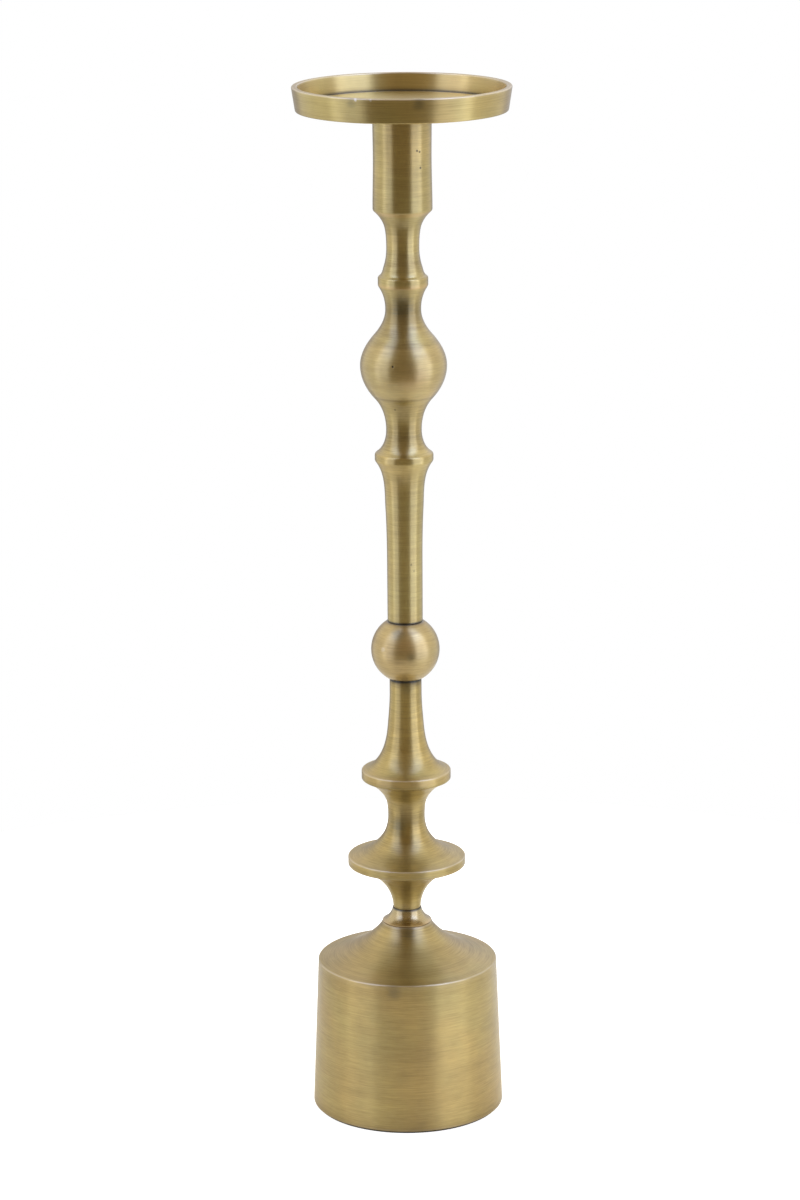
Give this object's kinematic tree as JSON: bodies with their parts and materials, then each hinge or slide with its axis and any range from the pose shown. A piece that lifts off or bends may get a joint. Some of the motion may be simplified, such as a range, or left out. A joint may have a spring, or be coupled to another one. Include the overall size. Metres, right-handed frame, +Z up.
{
  "type": "pillar candle holder",
  "caption": "Tall turned brass holder with a shallow dish for a pillar candle, a ball and discs on its stem, and a tapered hollow base.",
  "frame": {"origin": "centre of the felt's underside, where the holder stands on a table", "axes": "+Z up along the axis that every piece is turned about, X and Y level"},
  "size_m": [0.1232, 0.1232, 0.6],
  "materials": {
    "antique_brass": "antique brass, lathe brushed, with darker patina in the coves and paler worn edges",
    "satin_brass": "antique brass, warmer and softer satin",
    "polished_brass": "polished, paler than the rest",
    "zinc_steel": "zinc plated, threaded",
    "black_rubber": "matt",
    "fibreboard": "raw fibreboard",
    "felt": "dark felt"
  },
  "bodies": {
    "stand": {"felt_pad": "felt", "bottom_board": "fibreboard", "base_shell": "antique_brass", "neck_collar": "polished_brass", "lower_stem": "antique_brass", "stem_ball": "satin_brass", "upper_column": "antique_brass", "tie_rod": "zinc_steel", "rod_washer": "zinc_steel", "rod_lock_washer": "zinc_steel", "rod_nut": "zinc_steel"},
    "washer": {"dish_washer": "black_rubber"},
    "dish": {"candle_dish": "antique_brass", "dish_stud": "zinc_steel"}
  },
  "joints": [
    {"name": "dish_rise", "type": "slide", "parent": "stand", "child": "washer", "axis": [0, 0, 1], "range_m": [0, 0.01]},
    {"name": "dish_unscrew", "type": "hinge", "parent": "washer", "child": "dish", "pos_m": [0, 0, 0.5862], "axis": [0, 0, 1], "range_deg": [0, 2880]}
  ],
  "couplings": [
    {"joint": "dish_rise", "follows": "dish_unscrew", "m_per_rad": 0.0001989}
  ]
}
